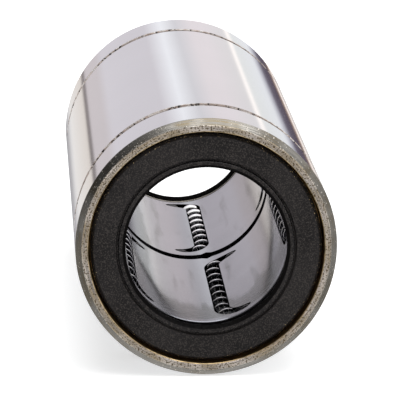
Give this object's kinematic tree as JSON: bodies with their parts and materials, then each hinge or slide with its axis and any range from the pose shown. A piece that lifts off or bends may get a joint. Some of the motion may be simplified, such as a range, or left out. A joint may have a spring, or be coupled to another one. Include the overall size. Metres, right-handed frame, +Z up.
{
  "type": "linear ball bushing",
  "caption": "Long closed linear ball bushing: polished steel sleeve with snap-ring grooves, rubber end seals, slotted steel retainers and recirculating ball circuits.",
  "frame": {"origin": "centre of the bore, half way along the sleeve", "axes": "+Y runs along the bore from the front end face to the rear one, +Z is up as the bushing lies on its side, and +X is to the right of a viewer who faces the front end"},
  "size_m": [0.032, 0.08, 0.032],
  "materials": {
    "sleeve_steel": "ground and polished bearing steel",
    "retainer_steel": "bright satin steel",
    "ball_steel": "mirror-polished chrome steel balls",
    "seal_rubber": "matt black nitrile rubber",
    "ring_steel": "plain pressed steel"
  },
  "bodies": {
    "bushing_shell": {"outer_sleeve": "sleeve_steel", "front_retainer": "retainer_steel", "rear_retainer": "retainer_steel", "front_side_ring": "ring_steel", "rear_side_ring": "ring_steel", "front_seal": "seal_rubber", "rear_seal": "seal_rubber", "front_seal_core": "ring_steel", "rear_seal_core": "ring_steel"},
    "front_circuit_1_loaded_balls": {"front_circuit_1_loaded_balls": "ball_steel"},
    "front_circuit_1_return_balls": {"front_circuit_1_return_balls": "ball_steel"},
    "front_circuit_1_outer_turn_balls": {"front_circuit_1_outer_turn_balls": "ball_steel"},
    "front_circuit_1_inner_turn_balls": {"front_circuit_1_inner_turn_balls": "ball_steel"},
    "front_circuit_2_loaded_balls": {"front_circuit_2_loaded_balls": "ball_steel"},
    "front_circuit_2_return_balls": {"front_circuit_2_return_balls": "ball_steel"},
    "front_circuit_2_outer_turn_balls": {"front_circuit_2_outer_turn_balls": "ball_steel"},
    "front_circuit_2_inner_turn_balls": {"front_circuit_2_inner_turn_balls": "ball_steel"},
    "front_circuit_3_loaded_balls": {"front_circuit_3_loaded_balls": "ball_steel"},
    "front_circuit_3_return_balls": {"front_circuit_3_return_balls": "ball_steel"},
    "front_circuit_3_outer_turn_balls": {"front_circuit_3_outer_turn_balls": "ball_steel"},
    "front_circuit_3_inner_turn_balls": {"front_circuit_3_inner_turn_balls": "ball_steel"},
    "front_circuit_4_loaded_balls": {"front_circuit_4_loaded_balls": "ball_steel"},
    "front_circuit_4_return_balls": {"front_circuit_4_return_balls": "ball_steel"},
    "front_circuit_4_outer_turn_balls": {"front_circuit_4_outer_turn_balls": "ball_steel"},
    "front_circuit_4_inner_turn_balls": {"front_circuit_4_inner_turn_balls": "ball_steel"},
    "front_circuit_5_loaded_balls": {"front_circuit_5_loaded_balls": "ball_steel"},
    "front_circuit_5_return_balls": {"front_circuit_5_return_balls": "ball_steel"},
    "front_circuit_5_outer_turn_balls": {"front_circuit_5_outer_turn_balls": "ball_steel"},
    "front_circuit_5_inner_turn_balls": {"front_circuit_5_inner_turn_balls": "ball_steel"},
    "rear_circuit_1_loaded_balls": {"rear_circuit_1_loaded_balls": "ball_steel"},
    "rear_circuit_1_return_balls": {"rear_circuit_1_return_balls": "ball_steel"},
    "rear_circuit_1_outer_turn_balls": {"rear_circuit_1_outer_turn_balls": "ball_steel"},
    "rear_circuit_1_inner_turn_balls": {"rear_circuit_1_inner_turn_balls": "ball_steel"},
    "rear_circuit_2_loaded_balls": {"rear_circuit_2_loaded_balls": "ball_steel"},
    "rear_circuit_2_return_balls": {"rear_circuit_2_return_balls": "ball_steel"},
    "rear_circuit_2_outer_turn_balls": {"rear_circuit_2_outer_turn_balls": "ball_steel"},
    "rear_circuit_2_inner_turn_balls": {"rear_circuit_2_inner_turn_balls": "ball_steel"},
    "rear_circuit_3_loaded_balls": {"rear_circuit_3_loaded_balls": "ball_steel"},
    "rear_circuit_3_return_balls": {"rear_circuit_3_return_balls": "ball_steel"},
    "rear_circuit_3_outer_turn_balls": {"rear_circuit_3_outer_turn_balls": "ball_steel"},
    "rear_circuit_3_inner_turn_balls": {"rear_circuit_3_inner_turn_balls": "ball_steel"},
    "rear_circuit_4_loaded_balls": {"rear_circuit_4_loaded_balls": "ball_steel"},
    "rear_circuit_4_return_balls": {"rear_circuit_4_return_balls": "ball_steel"},
    "rear_circuit_4_outer_turn_balls": {"rear_circuit_4_outer_turn_balls": "ball_steel"},
    "rear_circuit_4_inner_turn_balls": {"rear_circuit_4_inner_turn_balls": "ball_steel"},
    "rear_circuit_5_loaded_balls": {"rear_circuit_5_loaded_balls": "ball_steel"},
    "rear_circuit_5_return_balls": {"rear_circuit_5_return_balls": "ball_steel"},
    "rear_circuit_5_outer_turn_balls": {"rear_circuit_5_outer_turn_balls": "ball_steel"},
    "rear_circuit_5_inner_turn_balls": {"rear_circuit_5_inner_turn_balls": "ball_steel"}
  },
  "joints": [
    {"name": "front_circuit_1_loaded_travel", "type": "slide", "parent": "bushing_shell", "child": "front_circuit_1_loaded_balls", "axis": [0, 1, 0], "range_m": [-0.00168, 0.00168]},
    {"name": "front_circuit_1_return_travel", "type": "slide", "parent": "bushing_shell", "child": "front_circuit_1_return_balls", "axis": [0, 1, 0], "range_m": [-0.00168, 0.00168]},
    {"name": "front_circuit_1_outer_turn", "type": "hinge", "parent": "bushing_shell", "child": "front_circuit_1_outer_turn_balls", "pos_m": [0.00584, -0.03002, -0.01023], "axis": [-0.3163, 0, 0.9487], "range_deg": [-30, 30]},
    {"name": "front_circuit_1_inner_turn", "type": "hinge", "parent": "bushing_shell", "child": "front_circuit_1_inner_turn_balls", "pos_m": [0.00584, -0.00658, -0.01023], "axis": [-0.3163, 0, 0.9487], "range_deg": [-30, 30]},
    {"name": "front_circuit_2_loaded_travel", "type": "slide", "parent": "bushing_shell", "child": "front_circuit_2_loaded_balls", "axis": [0, 1, 0], "range_m": [-0.00168, 0.00168]},
    {"name": "front_circuit_2_return_travel", "type": "slide", "parent": "bushing_shell", "child": "front_circuit_2_return_balls", "axis": [0, 1, 0], "range_m": [-0.00168, 0.00168]},
    {"name": "front_circuit_2_outer_turn", "type": "hinge", "parent": "bushing_shell", "child": "front_circuit_2_outer_turn_balls", "pos_m": [0.01153, -0.03002, 0.00239], "axis": [-1, 0, -0.0076], "range_deg": [-30, 30]},
    {"name": "front_circuit_2_inner_turn", "type": "hinge", "parent": "bushing_shell", "child": "front_circuit_2_inner_turn_balls", "pos_m": [0.01153, -0.00658, 0.00239], "axis": [-1, 0, -0.0076], "range_deg": [-30, 30]},
    {"name": "front_circuit_3_loaded_travel", "type": "slide", "parent": "bushing_shell", "child": "front_circuit_3_loaded_balls", "axis": [0, 1, 0], "range_m": [-0.00168, 0.00168]},
    {"name": "front_circuit_3_return_travel", "type": "slide", "parent": "bushing_shell", "child": "front_circuit_3_return_balls", "axis": [0, 1, 0], "range_m": [-0.00168, 0.00168]},
    {"name": "front_circuit_3_outer_turn", "type": "hinge", "parent": "bushing_shell", "child": "front_circuit_3_outer_turn_balls", "pos_m": [0.00129, -0.03002, 0.01171], "axis": [-0.3017, 0, -0.9534], "range_deg": [-30, 30]},
    {"name": "front_circuit_3_inner_turn", "type": "hinge", "parent": "bushing_shell", "child": "front_circuit_3_inner_turn_balls", "pos_m": [0.00129, -0.00658, 0.01171], "axis": [-0.3017, 0, -0.9534], "range_deg": [-30, 30]},
    {"name": "front_circuit_4_loaded_travel", "type": "slide", "parent": "bushing_shell", "child": "front_circuit_4_loaded_balls", "axis": [0, 1, 0], "range_m": [-0.00168, 0.00168]},
    {"name": "front_circuit_4_return_travel", "type": "slide", "parent": "bushing_shell", "child": "front_circuit_4_return_balls", "axis": [0, 1, 0], "range_m": [-0.00168, 0.00168]},
    {"name": "front_circuit_4_outer_turn", "type": "hinge", "parent": "bushing_shell", "child": "front_circuit_4_outer_turn_balls", "pos_m": [-0.01074, -0.03002, 0.00485], "axis": [0.8135, 0, -0.5816], "range_deg": [-30, 30]},
    {"name": "front_circuit_4_inner_turn", "type": "hinge", "parent": "bushing_shell", "child": "front_circuit_4_inner_turn_balls", "pos_m": [-0.01074, -0.00658, 0.00485], "axis": [0.8135, 0, -0.5816], "range_deg": [-30, 30]},
    {"name": "front_circuit_5_loaded_travel", "type": "slide", "parent": "bushing_shell", "child": "front_circuit_5_loaded_balls", "axis": [0, 1, 0], "range_m": [-0.00168, 0.00168]},
    {"name": "front_circuit_5_return_travel", "type": "slide", "parent": "bushing_shell", "child": "front_circuit_5_return_balls", "axis": [0, 1, 0], "range_m": [-0.00168, 0.00168]},
    {"name": "front_circuit_5_outer_turn", "type": "hinge", "parent": "bushing_shell", "child": "front_circuit_5_outer_turn_balls", "pos_m": [-0.00793, -0.03002, -0.00871], "axis": [0.8045, 0, 0.594], "range_deg": [-30, 30]},
    {"name": "front_circuit_5_inner_turn", "type": "hinge", "parent": "bushing_shell", "child": "front_circuit_5_inner_turn_balls", "pos_m": [-0.00793, -0.00658, -0.00871], "axis": [0.8045, 0, 0.594], "range_deg": [-30, 30]},
    {"name": "rear_circuit_1_loaded_travel", "type": "slide", "parent": "bushing_shell", "child": "rear_circuit_1_loaded_balls", "axis": [0, -1, 0], "range_m": [-0.00168, 0.00168]},
    {"name": "rear_circuit_1_return_travel", "type": "slide", "parent": "bushing_shell", "child": "rear_circuit_1_return_balls", "axis": [0, -1, 0], "range_m": [-0.00168, 0.00168]},
    {"name": "rear_circuit_1_outer_turn", "type": "hinge", "parent": "bushing_shell", "child": "rear_circuit_1_outer_turn_balls", "pos_m": [-0.00103, 0.03142, -0.01173], "axis": [-0.1091, 0, 0.994], "range_deg": [-30, 30]},
    {"name": "rear_circuit_1_inner_turn", "type": "hinge", "parent": "bushing_shell", "child": "rear_circuit_1_inner_turn_balls", "pos_m": [-0.00103, 0.00798, -0.01173], "axis": [-0.1091, 0, 0.994], "range_deg": [-30, 30]},
    {"name": "rear_circuit_2_loaded_travel", "type": "slide", "parent": "bushing_shell", "child": "rear_circuit_2_loaded_balls", "axis": [0, -1, 0], "range_m": [-0.00168, 0.00168]},
    {"name": "rear_circuit_2_return_travel", "type": "slide", "parent": "bushing_shell", "child": "rear_circuit_2_return_balls", "axis": [0, -1, 0], "range_m": [-0.00168, 0.00168]},
    {"name": "rear_circuit_2_outer_turn", "type": "hinge", "parent": "bushing_shell", "child": "rear_circuit_2_outer_turn_balls", "pos_m": [-0.01148, 0.03142, -0.00265], "axis": [0.9117, 0, 0.4109], "range_deg": [-30, 30]},
    {"name": "rear_circuit_2_inner_turn", "type": "hinge", "parent": "bushing_shell", "child": "rear_circuit_2_inner_turn_balls", "pos_m": [-0.01148, 0.00798, -0.00265], "axis": [0.9117, 0, 0.4109], "range_deg": [-30, 30]},
    {"name": "rear_circuit_3_loaded_travel", "type": "slide", "parent": "bushing_shell", "child": "rear_circuit_3_loaded_balls", "axis": [0, -1, 0], "range_m": [-0.00168, 0.00168]},
    {"name": "rear_circuit_3_return_travel", "type": "slide", "parent": "bushing_shell", "child": "rear_circuit_3_return_balls", "axis": [0, -1, 0], "range_m": [-0.00168, 0.00168]},
    {"name": "rear_circuit_3_outer_turn", "type": "hinge", "parent": "bushing_shell", "child": "rear_circuit_3_outer_turn_balls", "pos_m": [-0.00606, 0.03142, 0.0101], "axis": [0.6725, 0, -0.7401], "range_deg": [-30, 30]},
    {"name": "rear_circuit_3_inner_turn", "type": "hinge", "parent": "bushing_shell", "child": "rear_circuit_3_inner_turn_balls", "pos_m": [-0.00606, 0.00798, 0.0101], "axis": [0.6725, 0, -0.7401], "range_deg": [-30, 30]},
    {"name": "rear_circuit_4_loaded_travel", "type": "slide", "parent": "bushing_shell", "child": "rear_circuit_4_loaded_balls", "axis": [0, -1, 0], "range_m": [-0.00168, 0.00168]},
    {"name": "rear_circuit_4_return_travel", "type": "slide", "parent": "bushing_shell", "child": "rear_circuit_4_return_balls", "axis": [0, -1, 0], "range_m": [-0.00168, 0.00168]},
    {"name": "rear_circuit_4_outer_turn", "type": "hinge", "parent": "bushing_shell", "child": "rear_circuit_4_outer_turn_balls", "pos_m": [0.00773, 0.03142, 0.00889], "axis": [-0.496, 0, -0.8683], "range_deg": [-30, 30]},
    {"name": "rear_circuit_4_inner_turn", "type": "hinge", "parent": "bushing_shell", "child": "rear_circuit_4_inner_turn_balls", "pos_m": [0.00773, 0.00798, 0.00889], "axis": [-0.496, 0, -0.8683], "range_deg": [-30, 30]},
    {"name": "rear_circuit_5_loaded_travel", "type": "slide", "parent": "bushing_shell", "child": "rear_circuit_5_loaded_balls", "axis": [0, -1, 0], "range_m": [-0.00168, 0.00168]},
    {"name": "rear_circuit_5_return_travel", "type": "slide", "parent": "bushing_shell", "child": "rear_circuit_5_return_balls", "axis": [0, -1, 0], "range_m": [-0.00168, 0.00168]},
    {"name": "rear_circuit_5_outer_turn", "type": "hinge", "parent": "bushing_shell", "child": "rear_circuit_5_outer_turn_balls", "pos_m": [0.01084, 0.03142, -0.0046], "axis": [-0.9791, 0, 0.2034], "range_deg": [-30, 30]},
    {"name": "rear_circuit_5_inner_turn", "type": "hinge", "parent": "bushing_shell", "child": "rear_circuit_5_inner_turn_balls", "pos_m": [0.01084, 0.00798, -0.0046], "axis": [-0.9791, 0, 0.2034], "range_deg": [-30, 30]}
  ],
  "couplings": [
    {"joint": "front_circuit_1_return_travel", "follows": "front_circuit_1_loaded_travel", "ratio": -1},
    {"joint": "front_circuit_1_outer_turn", "follows": "front_circuit_1_loaded_travel", "rad_per_m": -312.5},
    {"joint": "front_circuit_1_inner_turn", "follows": "front_circuit_1_loaded_travel", "rad_per_m": -312.5},
    {"joint": "front_circuit_2_return_travel", "follows": "front_circuit_2_loaded_travel", "ratio": -1},
    {"joint": "front_circuit_2_outer_turn", "follows": "front_circuit_2_loaded_travel", "rad_per_m": -312.5},
    {"joint": "front_circuit_2_inner_turn", "follows": "front_circuit_2_loaded_travel", "rad_per_m": -312.5},
    {"joint": "front_circuit_3_return_travel", "follows": "front_circuit_3_loaded_travel", "ratio": -1},
    {"joint": "front_circuit_3_outer_turn", "follows": "front_circuit_3_loaded_travel", "rad_per_m": -312.5},
    {"joint": "front_circuit_3_inner_turn", "follows": "front_circuit_3_loaded_travel", "rad_per_m": -312.5},
    {"joint": "front_circuit_4_return_travel", "follows": "front_circuit_4_loaded_travel", "ratio": -1},
    {"joint": "front_circuit_4_outer_turn", "follows": "front_circuit_4_loaded_travel", "rad_per_m": -312.5},
    {"joint": "front_circuit_4_inner_turn", "follows": "front_circuit_4_loaded_travel", "rad_per_m": -312.5},
    {"joint": "front_circuit_5_return_travel", "follows": "front_circuit_5_loaded_travel", "ratio": -1},
    {"joint": "front_circuit_5_outer_turn", "follows": "front_circuit_5_loaded_travel", "rad_per_m": -312.5},
    {"joint": "front_circuit_5_inner_turn", "follows": "front_circuit_5_loaded_travel", "rad_per_m": -312.5},
    {"joint": "rear_circuit_1_return_travel", "follows": "rear_circuit_1_loaded_travel", "ratio": -1},
    {"joint": "rear_circuit_1_outer_turn", "follows": "rear_circuit_1_loaded_travel", "rad_per_m": -312.5},
    {"joint": "rear_circuit_1_inner_turn", "follows": "rear_circuit_1_loaded_travel", "rad_per_m": -312.5},
    {"joint": "rear_circuit_2_return_travel", "follows": "rear_circuit_2_loaded_travel", "ratio": -1},
    {"joint": "rear_circuit_2_outer_turn", "follows": "rear_circuit_2_loaded_travel", "rad_per_m": -312.5},
    {"joint": "rear_circuit_2_inner_turn", "follows": "rear_circuit_2_loaded_travel", "rad_per_m": -312.5},
    {"joint": "rear_circuit_3_return_travel", "follows": "rear_circuit_3_loaded_travel", "ratio": -1},
    {"joint": "rear_circuit_3_outer_turn", "follows": "rear_circuit_3_loaded_travel", "rad_per_m": -312.5},
    {"joint": "rear_circuit_3_inner_turn", "follows": "rear_circuit_3_loaded_travel", "rad_per_m": -312.5},
    {"joint": "rear_circuit_4_return_travel", "follows": "rear_circuit_4_loaded_travel", "ratio": -1},
    {"joint": "rear_circuit_4_outer_turn", "follows": "rear_circuit_4_loaded_travel", "rad_per_m": -312.5},
    {"joint": "rear_circuit_4_inner_turn", "follows": "rear_circuit_4_loaded_travel", "rad_per_m": -312.5},
    {"joint": "rear_circuit_5_return_travel", "follows": "rear_circuit_5_loaded_travel", "ratio": -1},
    {"joint": "rear_circuit_5_outer_turn", "follows": "rear_circuit_5_loaded_travel", "rad_per_m": -312.5},
    {"joint": "rear_circuit_5_inner_turn", "follows": "rear_circuit_5_loaded_travel", "rad_per_m": -312.5}
  ]
}
